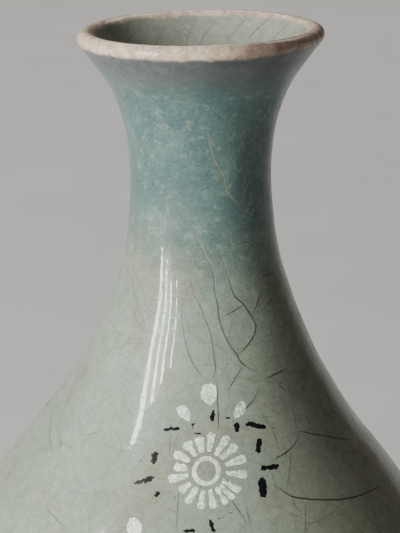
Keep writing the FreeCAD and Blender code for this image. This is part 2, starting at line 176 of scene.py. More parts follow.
def warp(p):
    """Moves points (n x 3, mm) of the true form to the thrown pot's."""
    x, y, z = p[:, 0], p[:, 1], p[:, 2]
    r = np.hypot(x, y)
    a = np.arctan2(x, -y)
    grow = np.zeros_like(r)
    for m, wave, amp, ph in MODES:
        grow = grow + amp * np.sin(m * a + 2 * math.pi * z / wave + ph)
    fade = np.clip(z / 12.0, 0, 1) * np.clip(r / 6.0, 0, 1)
    lip = np.clip((z - 142.5) / 7.0, 0, 1)
    grow = grow * fade * (1 - 0.35 * lip)
    grow = grow + lip * 0.07 * np.sin(3 * a + 0.6) + lip * 0.04 * np.sin(8 * a + 2.0)
    s = 1 + grow / np.maximum(r, 1e-6)
    x2, y2 = x * s, y * s
    tip = np.clip((z - 127.0) / 23.5, 0, 1) ** 2
    z2 = z + tip * (0.019 * x2 + 0.05 * np.sin(2 * a + 1.0) + 0.035 * np.sin(5 * a + 0.4))
    return np.stack([x2 + np.interp(z, dz_f, dx_f), y2, z2], 1)


# =============================================================================
# Mesh building
# =============================================================================
def make(name, verts_mm, faces, normals=None, smooth=True, mat=None, replaces=()):
    me = bpy.data.meshes.new(name)
    v = np.asarray(verts_mm, float) * MM
    me.from_pydata([tuple(q) for q in v], [], [tuple(int(i) for i in f) for f in faces])
    me.validate()
    if smooth:
        me.polygons.foreach_set("use_smooth", [True] * len(me.polygons))
    if normals is not None:
        me.normals_split_custom_set_from_vertices([tuple(n) for n in normals])
    me.update()
    ob = bpy.data.objects.new(name, me)
    bpy.context.scene.collection.objects.link(ob)
    if mat:
        me.materials.append(mat)
    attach(ob, "root")
    if replaces:
        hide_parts(*replaces)
    return ob


def wheel(curve, seg):
    """Points of a curve (n x 2) turned round the axis: n x seg x 3."""
    a = np.linspace(0, 2 * math.pi, seg, endpoint=False)
    r, z = curve[:, 0], curve[:, 1]
    return np.stack([r[:, None] * np.sin(a), -r[:, None] * np.cos(a), np.repeat(z[:, None], seg, 1)], -1)


def closed_turn(name, loop, seg, mat, replaces=(), sharp=35.0):
    """Closed solid of revolution from a closed outline; points on the axis are shared."""
    loop = [tuple(p) for p in loop]
    verts, rings = [], []
    ang = np.linspace(0, 2 * math.pi, seg, endpoint=False)
    for r, z in loop:
        if r < 1e-6:
            rings.append(("p", len(verts)))
            verts.append((0.0, 0.0, z))
        else:
            rings.append(("r", len(verts)))
            verts += [(r * math.sin(a), -r * math.cos(a), z) for a in ang]
    faces = []
    n = len(loop)
    for i in range(n):
        (ka, a), (kb, b) = rings[i], rings[(i + 1) % n]
        if ka == "p" and kb == "p":
            continue
        for j in range(seg):
            j2 = (j + 1) % seg
            if ka == "p":
                faces.append((a, b + j2, b + j))
            elif kb == "p":
                faces.append((a + j, a + j2, b))
            else:
                faces.append((a + j, a + j2, b + j2, b + j))
    ob = make(name, warp(np.array(verts)), faces, mat=mat, replaces=replaces)
    outward(ob)
    mark_sharp(ob, sharp)
    return ob


def outward(ob):
    import bmesh
    bm = bmesh.new()
    bm.from_mesh(ob.data)
    bmesh.ops.recalc_face_normals(bm, faces=bm.faces)
    bm.to_mesh(ob.data)
    bm.free()


def mark_sharp(ob, deg):
    import bmesh
    bm = bmesh.new()
    bm.from_mesh(ob.data)
    for e in bm.edges:
        if len(e.link_faces) == 2 and e.calc_face_angle(0) > math.radians(deg):
            e.smooth = False
    bm.to_mesh(ob.data)
    bm.free()


SEG = 208
wall_pts = wheel(G, SEG)
flat = warp(wall_pts.reshape(-1, 3)).reshape(wall_pts.shape)
clay_pts = warp(wheel(K, SEG).reshape(-1, 3)).reshape(wall_pts.shape)
du = np.gradient(flat, axis=0)
dv = np.roll(flat, -1, axis=1) - np.roll(flat, 1, axis=1)
nrm = np.cross(dv, du)
nrm[-1] = (0, 0, 1)
nrm /= np.maximum(np.linalg.norm(nrm, axis=2, keepdims=True), 1e-12)
probe = nrm[ring_index(OUT_CUTS[2]), 0] @ flat[ring_index(OUT_CUTS[2]), 0]
if probe < 0:
    nrm = -nrm
    nrm[-1] = (0, 0, 1)


def shell(name, i0, i1, mat, replaces=(), head=None):
    """Closed coat between rings i0 and i1: glazed face, clay face and the two rims.
    head adds rings before i0, as (glazed points, clay points)."""
    g, c, n = flat[i0:i1 + 1], clay_pts[i0:i1 + 1], nrm[i0:i1 + 1]
    if head is not None:
        hg = warp(wheel(head[0], SEG).reshape(-1, 3)).reshape(-1, SEG, 3)
        hc = warp(wheel(head[1], SEG).reshape(-1, 3)).reshape(-1, SEG, 3)
        hn = hg.copy()
        slope = np.gradient(np.vstack([head[0], G[i0:i0 + 1]]), axis=0)[:-1]
        for k in range(len(hg)):
            dr, dz = slope[k]
            h = math.hypot(dr, dz)
            radial = hg[k].copy(); radial[:, 2] = 0
            radial /= np.linalg.norm(radial, axis=1, keepdims=True)
            hn[k] = radial * (dz / h)
            hn[k][:, 2] = -dr / h
        g, c, n = np.concatenate([hg, g]), np.concatenate([hc, c]), np.concatenate([hn, n])
    m = len(g)
    tip = i1 == len(G) - 1
    rows = m - 1 if tip else m
    verts = list(g[:rows].reshape(-1, 3)) + list(c[:rows].reshape(-1, 3))
    norms = list(n[:rows].reshape(-1, 3)) + list(-n[:rows].reshape(-1, 3))
    off = rows * SEG
    faces = []
    for i in range(rows - 1):
        for j in range(SEG):
            j2 = (j + 1) % SEG
            a, b, c2, d = i * SEG + j, i * SEG + j2, (i + 1) * SEG + j2, (i + 1) * SEG + j
            faces.append((a, b, c2, d))
            faces.append((off + a, off + d, off + c2, off + b))
    for j in range(SEG):
        j2 = (j + 1) % SEG
        faces.append((j, off + j, off + j2, j2))
    last = (rows - 1) * SEG
    if tip:
        pg, pc = len(verts), len(verts) + 1
        verts += [g[-1, 0], c[-1, 0]]
        norms += [(0, 0, 1), (0, 0, -1)]
        for j in range(SEG):
            j2 = (j + 1) % SEG
            faces.append((last + j, last + j2, pg))
            faces.append((off + last + j2, off + last + j, pc))
    else:
        for j in range(SEG):
            j2 = (j + 1) % SEG
            faces.append((last + j, last + j2, off + last + j2, off + last + j))
    a, b, c2, d = [np.array(verts[q]) for q in faces[0]]
    if np.dot(np.cross(b - a, d - a), norms[faces[0][0]]) < 0:
        faces = [tuple(reversed(f)) for f in faces]
    return make(name, verts, faces, normals=norms, mat=mat, replaces=replaces)


def on_surface(angle, z, lift=0.0, inside=False):
    """Point of the warped glaze at an angle (radians from the front, to the right) and height."""
    angle, z = np.atleast_1d(angle).astype(float), np.atleast_1d(z).astype(float)
    zz, rr = (in_z, in_r) if inside else (out_z, out_r)
    r = np.interp(z, zz, rr)
    e = 0.05
    slope = (np.interp(z + e, zz, rr) - np.interp(z - e, zz, rr)) / (2 * e)
    h = np.hypot(1, slope)
    nr, nz = 1 / h, -slope / h
    if inside:
        nr, nz = -nr, -nz
    r2, z2 = r + lift * nr, z + lift * nz
    return warp(np.stack([r2 * np.sin(angle), -r2 * np.cos(angle), z2], 1))


# =============================================================================
# Materials
# =============================================================================
class Mat:
    def __init__(self, name):
        self.mat = bpy.data.materials.new(name)
        self.mat.use_nodes = True
        self.nt = self.mat.node_tree
        self.bsdf = self.nt.nodes["Principled BSDF"]
        tc = self.nt.nodes.new("ShaderNodeTexCoord")
        sc = self.nt.nodes.new("ShaderNodeVectorMath")
        sc.operation = "SCALE"
        sc.inputs["Scale"].default_value = 1000.0
        self.nt.links.new(tc.outputs["Object"], sc.inputs[0])
        self.mm = sc.outputs[0]
        sep = self.nt.nodes.new("ShaderNodeSeparateXYZ")
        self.nt.links.new(self.mm, sep.inputs[0])
        self.x, self.y, self.z = sep.outputs

    def link(self, a, b):
        self.nt.links.new(a, b)

    def _in(self, sock, v):
        if hasattr(v, "is_linked") or isinstance(v, bpy.types.NodeSocket):
            self.link(v, sock)
        else:
            sock.default_value = v

    def noise(self, scale, detail=3.0, rough=0.55, distort=0.0, vec=None, offset=0.0):
        n = self.nt.nodes.new("ShaderNodeTexNoise")
        v = vec or self.mm
        if offset:
            add = self.nt.nodes.new("ShaderNodeVectorMath")
            add.operation = "ADD"
            self.link(v, add.inputs[0])
            add.inputs[1].default_value = (offset, offset * 0.7, -offset * 1.3)
            v = add.outputs[0]
        self.link(v, n.inputs["Vector"])
        n.inputs["Scale"].default_value = scale
        n.inputs["Detail"].default_value = detail
        n.inputs["Roughness"].default_value = rough
        n.inputs["Distortion"].default_value = distort
        return n.outputs["Fac"]

    def stretched(self, sx, sy, sz):
        m = self.nt.nodes.new("ShaderNodeVectorMath")
        m.operation = "MULTIPLY"
        self.link(self.mm, m.inputs[0])
        m.inputs[1].default_value = (sx, sy, sz)
        return m.outputs[0]

    def cells(self, scale, feature="F1", vec=None, rand=1.0):
        n = self.nt.nodes.new("ShaderNodeTexVoronoi")
        n.feature = feature
        self.link(vec or self.mm, n.inputs["Vector"])
        n.inputs["Scale"].default_value = scale
        n.inputs["Randomness"].default_value = rand
        return n.outputs["Distance"]

    def math(self, op, a, b=0.0, c=0.0):
        n = self.nt.nodes.new("ShaderNodeMath")
        n.operation = op
        self._in(n.inputs[0], a)
        self._in(n.inputs[1], b)
        if len(n.inputs) > 2:
            self._in(n.inputs[2], c)
        return n.outputs[0]

    def step(self, v, lo, hi, out_lo=0.0, out_hi=1.0):
        n = self.nt.nodes.new("ShaderNodeMapRange")
        n.interpolation_type = "SMOOTHSTEP"
        self._in(n.inputs["Value"], v)
        n.inputs["From Min"].default_value = lo
        n.inputs["From Max"].default_value = hi
        n.inputs["To Min"].default_value = out_lo
        n.inputs["To Max"].default_value = out_hi
        return n.outputs["Result"]

    def mix(self, fac, a, b, blend="MIX"):
        n = self.nt.nodes.new("ShaderNodeMix")
        n.data_type = "RGBA"
        n.blend_type = blend
        self._in(n.inputs[0], fac)
        for sock, v in ((n.inputs[6], a), (n.inputs[7], b)):
            if isinstance(v, tuple):
                sock.default_value = (*v, 1.0)
            else:
                self.link(v, sock)
        return n.outputs[2]

    def warped(self, amount, scale):
        """Coordinates shaken by noise, for lines that aren't straight."""
        n = self.nt.nodes.new("ShaderNodeTexNoise")
        self.link(self.mm, n.inputs["Vector"])
        n.inputs["Scale"].default_value = scale
        n.inputs["Detail"].default_value = 2.0
        s = self.nt.nodes.new("ShaderNodeVectorMath")
        s.operation = "SCALE"
        self.link(n.outputs["Color"], s.inputs[0])
        s.inputs["Scale"].default_value = amount
        a = self.nt.nodes.new("ShaderNodeVectorMath")
        a.operation = "ADD"
        self.link(self.mm, a.inputs[0])
        self.link(s.outputs[0], a.inputs[1])
        return a.outputs[0]

    def bump(self, height, distance, strength=1.0, chain=None):
        n = self.nt.nodes.new("ShaderNodeBump")
        n.inputs["Strength"].default_value = strength
        n.inputs["Distance"].default_value = distance
        self.link(height, n.inputs["Height"])
        if chain is not None:
            self.link(chain, n.inputs["Normal"])
        return n.outputs["Normal"]

    def out(self, color=None, rough=None, normal=None, **values):
        if color is not None:
            self.link(color, self.bsdf.inputs["Base Color"])
        if rough is not None:
            self.link(rough, self.bsdf.inputs["Roughness"])
        if normal is not None:
            self.link(normal, self.bsdf.inputs["Normal"])
        for k, v in values.items():
            self.bsdf.inputs[k.replace("_", " ")].default_value = v
        return self.mat


def celadon(name, inside=False, foot=False):
    """Crackled celadon: blue-grey on the neck, sage below, with beige flushes, and a thin tan lip."""
    m = Mat(name)
    big = m.noise(0.045, 3.0, 0.55)
    mid = m.noise(0.15, 4.0, 0.62, 0.5, offset=31.0)
    small = m.noise(0.62, 4.0, 0.68, 0.3, offset=77.0)
    grain = m.noise(2.9, 4.0, 0.75, offset=13.0)
    dust = m.noise(7.5, 2.0, 0.7, offset=61.0)
    # blue-grey at the neck, greener and paler below; the neck's darker tone is partly its own colour and partly
    # painted shade
    climb = m.math("ADD", m.step(m.z, 92.0, 136.0), m.math("MULTIPLY", m.math("SUBTRACT", big, 0.5), 0.45))
    climb = m.step(climb, 0.05, 0.95)
    base = m.mix(climb, (0.278, 0.306, 0.240), (0.074, 0.130, 0.126))
    base = m.mix(m.step(mid, 0.47, 0.70, 0.0, 0.35), base, (0.205, 0.280, 0.240))
    # beige to olive-brown: random patches that are the glaze's own colour, and a warm tint across the right flank, the
    # shaded side, which is painted shade colour; both fade out up the neck
    flank = m.math("ADD", m.x, m.math("MULTIPLY", m.math("SUBTRACT", mid, 0.5), 34.0))
    warm_shade_flank = m.step(flank, 1.0, 30.0, 0.0, 0.62)
    blush = m.step(m.noise(0.075, 3.0, 0.6, 0.6, offset=53.0), 0.47, 0.68, 0.0, 0.62)
    high = m.step(m.z, 104.0, 126.0, 1.0, 0.12)
    base = m.mix(m.math("MULTIPLY", m.math("MAXIMUM", warm_shade_flank, blush), high), base, (0.262, 0.232, 0.165))
    rad = m.math("SQRT", m.math("ADD", m.math("MULTIPLY", m.x, m.x), m.math("MULTIPLY", m.y, m.y)))
    aside = m.math("SUBTRACT", rad, m.math("ADD", 17.1, m.math("MULTIPLY", m.math("SUBTRACT", m.z, 148.0), 0.6)))
    within = m.step(m.z, 118.0, 138.0)
    if inside:
        base = m.mix(m.math("MULTIPLY", within, 0.85), base, (0.330, 0.325, 0.262))
    elif not foot:
        within = m.math("MULTIPLY", m.step(aside, -0.9, 0.1, 1.0, 0.0), m.step(m.z, 147.0, 147.9))
        base = m.mix(m.math("MULTIPLY", within, 0.85), base, (0.330, 0.325, 0.262))
    # clouds, mottling and grain
    base = m.mix(m.step(mid, 0.52, 0.34, 0.0, 0.30), base, m.mix(1.0, base, (0.74, 0.76, 0.74), "MULTIPLY"))
    base = m.mix(m.step(small, 0.44, 0.70, 0.0, 0.42), base, m.mix(1.0, base, (0.66, 0.70, 0.68), "MULTIPLY"))
    base = m.mix(m.step(small, 0.47, 0.30, 0.0, 0.30), base, (0.380, 0.400, 0.320))
    base = m.mix(m.step(grain, 0.48, 0.68, 0.0, 0.72), base, m.mix(1.0, base, (0.60, 0.64, 0.62), "MULTIPLY"))
    base = m.mix(m.step(grain, 0.50, 0.30, 0.0, 0.16), base, (0.430, 0.460, 0.385))
    base = m.mix(m.step(dust, 0.53, 0.72, 0.0, 0.60), base, m.mix(1.0, base, (0.55, 0.55, 0.52), "MULTIPLY"))
    # faint crackle between the main lines
    net = m.cells(0.105, "DISTANCE_TO_EDGE", m.warped(3.4, 0.20))
    net_line = m.step(net, 0.0, 0.014, 1.0, 0.0)
    fine_net = m.cells(0.30, "DISTANCE_TO_EDGE", m.warped(1.6, 0.45))
    fine_line = m.math("MULTIPLY", m.step(fine_net, 0.0, 0.020, 1.0, 0.0), m.step(mid, 0.44, 0.62))
    lines = m.math("MAXIMUM", m.math("MULTIPLY", net_line, 0.26), m.math("MULTIPLY", fine_line, 0.20))
    base = m.mix(lines, base, (0.085, 0.076, 0.052))
    # sparse pinholes and iron specks
    pick = m.step(m.noise(0.55, 1.0, 0.5, offset=91.0), 0.58, 0.64)
    pin = m.math("MULTIPLY", m.step(m.cells(0.62), 0.05, 0.14, 1.0, 0.0), pick)
    base = m.mix(m.math("MULTIPLY", pin, 0.80), base, (0.040, 0.034, 0.024))
    # lip: glaze thin over the clay
    if not foot:
        edge_wave = m.math("MULTIPLY", m.math("SUBTRACT", m.noise(0.28, 3.0, 0.6, offset=7.0), 0.5), 1.8)
        zz = m.math("ADD", m.math("SUBTRACT", m.z, m.math("MULTIPLY", m.x, 0.018)), edge_wave)
        zz = m.math("SUBTRACT", zz, m.math("MULTIPLY", within, 1.60))
        lip = m.step(zz, 149.35, 150.15)
        # umber on the front right of the lip: partly the lip's own umber, partly painted shade on the shaded side;
        # faded back towards tan at the far right end as a painted highlight where light catches it
        umber_and_painted_shade = m.step(m.math("ADD", m.x, m.math("MULTIPLY", m.math("SUBTRACT", mid, 0.5), 14.0)), 1.0, 10.0)
        umber_and_painted_shade = m.math("MULTIPLY", umber_and_painted_shade, m.step(m.x, 12.0, 19.0, 1.0, 0.12))
        front = m.step(m.y, -8.0, 4.0, 1.0, 0.30)
        tan = m.mix(m.step(small, 0.35, 0.65), (0.450, 0.315, 0.225), (0.690, 0.540, 0.425))
        umber = m.mix(m.step(small, 0.35, 0.65), (0.205, 0.125, 0.092), (0.340, 0.230, 0.180))
        lipc = m.mix(m.math("MULTIPLY", umber_and_painted_shade, front), tan, umber)
        lipc = m.mix(m.step(grain, 0.48, 0.70, 0.0, 0.65), lipc, (0.150, 0.110, 0.080))
        base = m.mix(lip, base, lipc)
        # painted shade: a near-black band round the neck just under the lip, where the flare shades it
        under = m.math("MULTIPLY", m.step(zz, 141.5, 148.6), m.math("SUBTRACT", 1.0, lip))
        under = m.math("MULTIPLY", under, m.math("SUBTRACT", 1.0, within))
        base = m.mix(m.math("MULTIPLY", under, 0.80), base, m.mix(m.step(small, 0.35, 0.65), (0.074, 0.070, 0.074), (0.122, 0.112, 0.112)))
    # gloss: glassy, a little worn in patches
    rough = m.math("ADD", m.step(mid, 0.3, 0.7, 0.26, 0.38), m.step(grain, 0.45, 0.75, 0.0, 0.12))
    if not foot:
        rough = m.math("ADD", rough, m.math("MULTIPLY", lip, 0.24))
    # surface: orange peel, throwing rings, crackle grooves and pinholes
    peel = m.math("ADD", m.noise(0.85, 3.0, 0.6, offset=3.0), m.math("MULTIPLY", m.noise(2.6, 2.0, 0.6), 0.45))
    nb = m.bump(peel, 0.000040, 0.60)
    rings = m.noise(0.9, 2.0, 0.5, vec=m.stretched(0.10, 0.10, 1.0), offset=19.0)
    nb = m.bump(rings, 0.000030, 0.55, nb)
    pits = m.bump(m.math("SUBTRACT", 1.0, m.math("MAXIMUM", lines, m.math("MULTIPLY", pin, 0.9))), 0.000040, 0.8, nb)
    skin = m.bump(peel, 0.000007, 0.60)
    skin = m.bump(rings, 0.000008, 0.55, skin)
    skin = m.bump(m.math("SUBTRACT", 1.0, m.math("MAXIMUM", lines, m.math("MULTIPLY", pin, 0.9))), 0.000020, 0.8, skin)
    m.link(skin, m.bsdf.inputs["Coat Normal"])
    return m.out(base, rough, pits, Coat_Weight=0.45, Coat_Roughness=0.03, Coat_IOR=1.5, IOR=1.45,
                 Specular_IOR_Level=0.15)


def biscuit(name, tone=(0.36, 0.30, 0.24), dark=(0.20, 0.155, 0.12), sand=True):
    """Fired stoneware body: dull, gritty, flushed brown where the flame touched it."""
    m = Mat(name)
    blush = m.noise(0.11, 3.0, 0.6, 0.5)
    grit = m.noise(2.6, 4.0, 0.7, offset=9.0)
    c = m.mix(m.step(blush, 0.35, 0.70), tone, (tone[0] * 1.10, tone[1] * 0.86, tone[2] * 0.72))
    c = m.mix(m.step(grit, 0.50, 0.75, 0.0, 0.65), c, dark)
    c = m.mix(m.step(m.cells(1.6), 0.04, 0.16, 0.7, 0.0), c, (0.56, 0.52, 0.46))
    lines = m.noise(1.2, 2.0, 0.5, vec=m.stretched(0.12, 0.12, 1.0))
    nb = m.bump(grit, 0.00012, 0.6)
    nb = m.bump(lines, 0.00010, 0.5, nb)
    return m.out(c, m.step(grit, 0.3, 0.7, 0.72, 0.92), nb, IOR=1.45)


def slip_white(name):
    """White slip inlay under glaze: mottled, thin in places so that the celadon shows."""
    m = Mat(name)
    patch = m.noise(0.80, 3.0, 0.6, 0.4, offset=5.0)
    small = m.noise(2.2, 4.0, 0.75, offset=21.0)
    c = m.mix(m.step(patch, 0.40, 0.62), (0.930, 0.960, 0.800), (0.640, 0.710, 0.560))
    worn = m.step(m.noise(1.35, 4.0, 0.7, 0.3, offset=88.0), 0.49, 0.60)
    c = m.mix(m.math("MULTIPLY", worn, m.step(m.x, -1.0, 5.0, 0.40, 0.85)), c, (0.330, 0.375, 0.295))
    c = m.mix(m.step(small, 0.50, 0.64, 0.0, 0.80), c, (0.300, 0.350, 0.265))
    c = m.mix(m.step(small, 0.44, 0.28, 0.0, 0.70), c, (0.960, 0.970, 0.900))
    net = m.step(m.cells(0.40, "DISTANCE_TO_EDGE", m.warped(1.4, 0.5)), 0.0, 0.030, 1.0, 0.0)
    c = m.mix(m.math("MULTIPLY", net, 0.60), c, (0.120, 0.115, 0.080))
    nb = m.bump(small, 0.000060, 0.6)
    m.link(nb, m.bsdf.inputs["Coat Normal"])
    return m.out(c, m.step(small, 0.3, 0.7, 0.26, 0.44), nb, Coat_Weight=0.35, Coat_Roughness=0.06, Coat_IOR=1.5, IOR=1.45, Specular_IOR_Level=0.2)


def slip_black(name):
    """Black slip marks under glaze, brown-red where thin."""
    m = Mat(name)
    a = m.noise(1.0, 3.0, 0.6, 0.3, offset=41.0)
    b = m.noise(3.0, 3.0, 0.7, offset=15.0)
    c = m.mix(m.step(a, 0.56, 0.72), (0.007, 0.007, 0.008), (0.036, 0.011, 0.010))
    c = m.mix(m.step(b, 0.60, 0.80, 0.0, 0.70), c, (0.095, 0.095, 0.072))
    nb = m.bump(b, 0.000050, 0.6)
    m.link(nb, m.bsdf.inputs["Coat Normal"])
    return m.out(c, m.step(b, 0.3, 0.7, 0.24, 0.42), nb, Coat_Weight=0.22, Coat_Roughness=0.07, IOR=1.45, Specular_IOR_Level=0.2)


def stain(name, dark, pale):
    """Tea-brown stain held in the crackle; darker on the right flank, which is painted shade; with pale colours it
    also gives the painted highlight line beside the main cracks.
    """
    m = Mat(name)
    a = m.noise(0.16, 3.0, 0.6, offset=2.0)
    b = m.noise(1.6, 2.0, 0.6, offset=33.0)
    # painted shade: darker towards the right flank, the shaded side
    flank = m.step(m.math("ADD", m.x, m.math("MULTIPLY", m.math("SUBTRACT", a, 0.5), 30.0)), -4.0, 14.0)
    c = m.mix(flank, pale, dark)
    c = m.mix(m.step(b, 0.42, 0.72, 0.0, 0.65), c, m.mix(1.0, c, (1.55, 1.60, 1.55), "MULTIPLY"))
    return m.out(c, m.step(b, 0.3, 0.7, 0.34, 0.52), m.bump(b, 0.00003, 0.5), IOR=1.5)


M_out = celadon("celadon_outside")
M_in = celadon("celadon_inside", inside=True)
M_foot = celadon("celadon_foot", foot=True)
M_clay = biscuit("stoneware")
M_slip = biscuit("luting_slip", (0.44, 0.38, 0.31), (0.28, 0.23, 0.18))
M_white = slip_white("white_slip")
M_black = slip_black("black_slip")
M_crack = stain("crackle_stain", (0.060, 0.050, 0.034), (0.115, 0.122, 0.092))
M_crack_fine = stain("crackle_stain_fine", (0.078, 0.068, 0.046), (0.140, 0.158, 0.122))
# pale colours for the painted highlight line beside each main crack
M_crack_highlight = stain("crackle_painted_highlight", (0.195, 0.200, 0.160), (0.215, 0.245, 0.205))

# =============================================================================
# Glaze coats
# =============================================================================
skirt_g = np.array([(28.03, 1.60), (28.26, 1.66), (28.42, 1.90), (28.50, 2.40), (28.60, 3.20), (28.72, 3.90), (28.88, 4.38)])
skirt_c = np.array([(28.01, 1.61), (28.02, 1.72), (28.04, 1.92), (28.10, 2.40), (28.18, 3.20), (28.26, 3.90), (28.33, 4.45)])
i_out = [ring_index(t) for t in OUT_CUTS]
i_in = [ring_index(t) for t in IN_CUTS]
shell("glaze_lower", i_out[0], i_out[1], M_out, ["outer_glaze_coat"], head=(skirt_g, skirt_c))
shell("glaze_belly", i_out[1], i_out[2], M_out)
shell("glaze_shoulder", i_out[2], i_out[3], M_out)
shell("glaze_neck", i_out[3], i_out[4], M_out)
shell("glaze_lip", i_out[4], i_in[0], M_out, ["lip_glaze_band"])
shell("glaze_inside_neck", i_in[0], i_in[1], M_in, ["inner_glaze_coat"])
shell("glaze_inside_bowl", i_in[1], i_in[2], M_in)

# =============================================================================
# Clay walls, joining slip and foot
# =============================================================================
clay_fine = spline(clay_p, fine_t)
ck = int(np.argmax(clay_fine[:, 1]))
co, ci = clay_fine[:ck], clay_fine[ck:]


def clay_arc(z0, z1, n, inside):
    z = np.linspace(z0, z1, n)
    if inside:
        return [(float(np.interp(q, ci[::-1, 1], ci[::-1, 0])), float(q)) for q in z]
    return [(float(np.interp(q, co[:, 1], co[:, 0])), float(q)) for q in z]


def clay_band(name, z0, z1, n, mat, node):
    loop = clay_arc(z0, z1, n, False) + clay_arc(z1, z0, n, True)
    return closed_turn(name, loop, 112, mat, [node])


floor_t = t_at(18.0, True)
floor_pts = [tuple(q) for q in spline(clay_p, np.linspace(floor_t, 1.0, 14))]
floor_pts[-1] = (0.0, floor_pts[-1][1])
low = BELLY_JOINT - 0.2
closed_turn("clay_lower_bowl",
            [(28.35, 4.73), (28.62, 4.96)] + clay_arc(5.6, low, 24, False) + clay_arc(low, floor_pts[0][1] + 0.4, 18, True)
            + floor_pts + [(0.0, 5.6), (21.6, 5.6), (22.2, 4.73)],
            112, M_clay, ["lower_bowl_wall"])
clay_band("slip_belly", BELLY_JOINT - 0.2, BELLY_JOINT + 0.2, 2, M_slip, "belly_luting_slip")
clay_band("clay_shoulder", BELLY_JOINT + 0.2, NECK_JOINT - 0.2, 34, M_clay, "shoulder_wall")
clay_band("slip_neck", NECK_JOINT - 0.2, NECK_JOINT + 0.2, 2, M_slip, "neck_luting_slip")
top_z = 151.3
lip_over = [tuple(q) for q in clay_fine[(clay_fine[:, 1] > top_z)][::30]]
closed_turn("clay_neck", clay_arc(NECK_JOINT + 0.2, top_z, 40, False) + lip_over + clay_arc(top_z, NECK_JOINT + 0.2, 40, True),
            112, M_clay, ["neck_wall"])
closed_turn("foot_ring_visual",
            [(22.24, 4.50), (22.45, 3.30), (22.70, 1.80), (22.84, 0.75), (22.96, 0.42), (23.20, 0.14), (23.55, 0.0),
             (24.6, 0.0), (26.0, 0.0), (27.05, 0.0), (27.45, 0.13), (27.76, 0.42), (27.93, 0.85), (28.02, 1.60),
             (28.10, 2.40), (28.20, 3.40), (28.33, 4.50)],
            SEG, M_clay, ["foot_ring"], sharp=60)
closed_turn("slip_foot", [(22.22, 4.73), (22.25, 4.51), (28.31, 4.51), (28.34, 4.73)], 112, M_slip, ["foot_luting_slip"])
closed_turn("glaze_foot_recess",
            [(0.0, 5.28), (8.0, 5.28), (15.0, 5.27), (20.6, 5.24), (21.36, 5.08), (21.80, 4.66), (21.98, 4.0), (22.16, 3.0),
             (22.36, 2.0), (22.52, 1.66), (22.73, 1.60), (22.48, 3.0), (22.2, 4.73), (21.6, 5.6), (10.0, 5.6), (0.0, 5.6)],
            SEG, M_foot, ["foot_recess_glaze"], sharp=70)

# =============================================================================
# Inlaid sprays
# =============================================================================
FLOWER_Z, FLOWER_R, LIFT = 83.40, 27.17, math.radians(35.80)
SIDES = {"front": (2.85, 1.00), "right": (124.50, 1.03), "left": (239.50, 0.98)}


def spray_frame(side):
    a = math.radians(SIDES[side][0])
    n = np.array([math.cos(LIFT) * math.sin(a), -math.cos(LIFT) * math.cos(a), math.sin(LIFT)])
    ex = np.array([math.cos(a), math.sin(a), 0.0])
    return np.array([FLOWER_R * math.sin(a), -FLOWER_R * math.cos(a), FLOWER_Z]), ex, np.cross(n, ex), n


def drop(side, uv, lift):
    """Points (u, v) of the spray's plane set down on the glaze, square to the plane."""
    c, ex, ey, n = spray_frame(side)
    p = c + uv[:, :1] * ex + uv[:, 1:2] * ey
    h = np.zeros(len(p))
    for _ in range(12):
        q = p + h[:, None] * n
        r = np.hypot(q[:, 0], q[:, 1])
        f = r - np.interp(q[:, 2], out_z, out_r)
        slope = (np.interp(q[:, 2] + .05, out_z, out_r) - np.interp(q[:, 2] - .05, out_z, out_r)) / .1
        g = (q[:, 0] * n[0] + q[:, 1] * n[1]) / r - slope * n[2]
        h -= f / g
    q = p + h[:, None] * n
    return on_surface(np.arctan2(q[:, 0], -q[:, 1]), q[:, 2], lift)


def patch(outline, r, rough=0.05, per=0.25, smooth_k=1):
    """Rough-edged copy of an outline, resampled about every per millimetres."""
    o = np.array(outline, float)
    out = []
    for a, b in zip(o, np.roll(o, -1, axis=0)):
        n = max(1, int(round(np.linalg.norm(b - a) / per)))
        out += [a + (b - a) * k / n for k in range(n)]
    out = np.array(out)
    for _ in range(smooth_k):
        out = 0.25 * np.roll(out, 1, axis=0) + 0.5 * out + 0.25 * np.roll(out, -1, axis=0)
    j = np.array([[r.gauss(0, rough), r.gauss(0, rough)] for _ in out])
    j = (j + np.roll(j, 1, axis=0)) / 1.6
    return out + j


def plates(name, side, shapes, mat, node, lift=0.022, depth=0.30):
    """One piece made of many inlaid patches: domed a little, with closed sides and bottom."""
    verts, faces = [], []
    for s in shapes:
        s = np.asarray(s)
        if 0.5 * np.sum(s[:, 0] * np.roll(s[:, 1], -1) - s[:, 1] * np.roll(s[:, 0], -1)) < 0:
            s = s[::-1]
        m, c = len(s), s.mean(axis=0)
        top = np.vstack([c[None]] + [c + (s - c) * k for k in (0.34, 0.67, 1.0)])
        lifts = np.array([lift] + [lift] * (2 * m) + [lift * 0.35] * m)
        p = drop(side, top, 0.0)
        raised = drop(side, top, lift)
        edge = drop(side, top, lift * 0.35)
        p = np.where((lifts == lift)[:, None], raised, edge)
        low = drop(side, np.vstack([s, c[None]]), -depth)
        b = len(verts)
        verts += list(p) + list(low)
        for k in range(m):
            k2 = (k + 1) % m
            faces.append((b, b + 1 + k, b + 1 + k2))
            for ring in range(2):
                a0, a1 = b + 1 + ring * m, b + 1 + (ring + 1) * m
                faces.append((a0 + k, a1 + k, a1 + k2, a0 + k2))
            r3, lo = b + 1 + 2 * m, b + 1 + 3 * m
            faces.append((r3 + k, lo + k, lo + k2, r3 + k2))
            faces.append((lo + k, lo + m, lo + k2))
    ob = make(name, verts, faces, smooth=True, mat=mat, replaces=[node])
    mark_sharp(ob, 40)
    return ob


